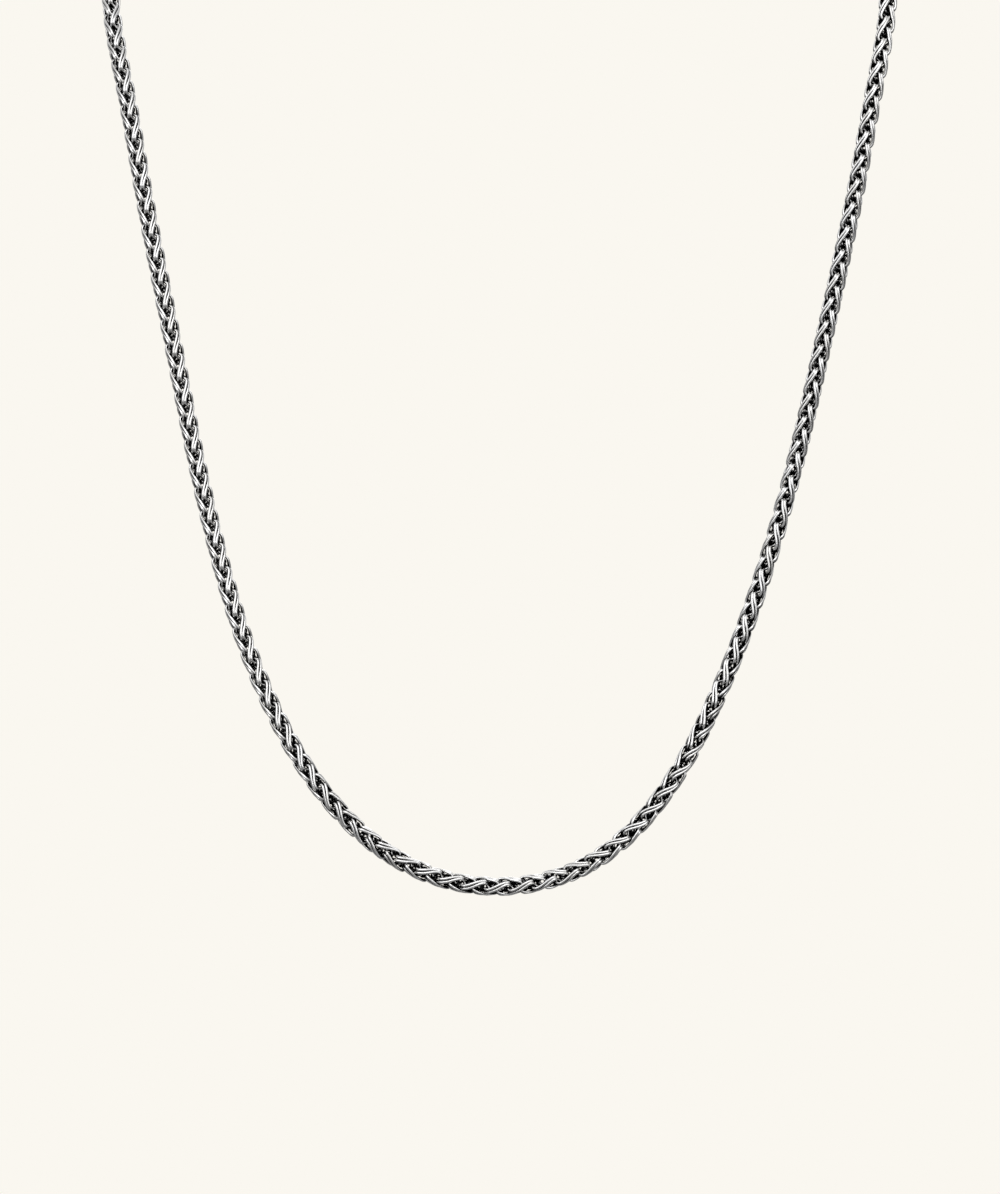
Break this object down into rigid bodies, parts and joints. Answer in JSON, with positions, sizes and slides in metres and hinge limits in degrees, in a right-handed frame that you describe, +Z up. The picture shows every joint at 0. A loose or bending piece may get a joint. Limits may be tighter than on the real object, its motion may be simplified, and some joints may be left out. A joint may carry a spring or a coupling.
{
  "type": "wheat chain necklace",
  "caption": "Round woven wheat chain in oxidised silver, closed behind the neck by end caps, rings and a hook clasp, hanging in one long curve.",
  "frame": {"origin": "middle of the clasp, where the chain rests on the nape", "axes": "+Z up, the front of the wearer towards -Y, +X towards the right of the picture"},
  "size_m": [0.1342, 0.0804, 0.1922],
  "materials": {
    "oxidised_silver": "polished silver wire, black with oxide in its hollows",
    "polished_silver": "polished silver with a soft wear"
  },
  "bodies": {
    "root": {"chain": "oxidised_silver", "left_end_cap": "polished_silver", "right_end_cap": "polished_silver", "jump_ring": "polished_silver", "clasp": "polished_silver", "catch_ring": "polished_silver"}
  },
  "joints": []
}
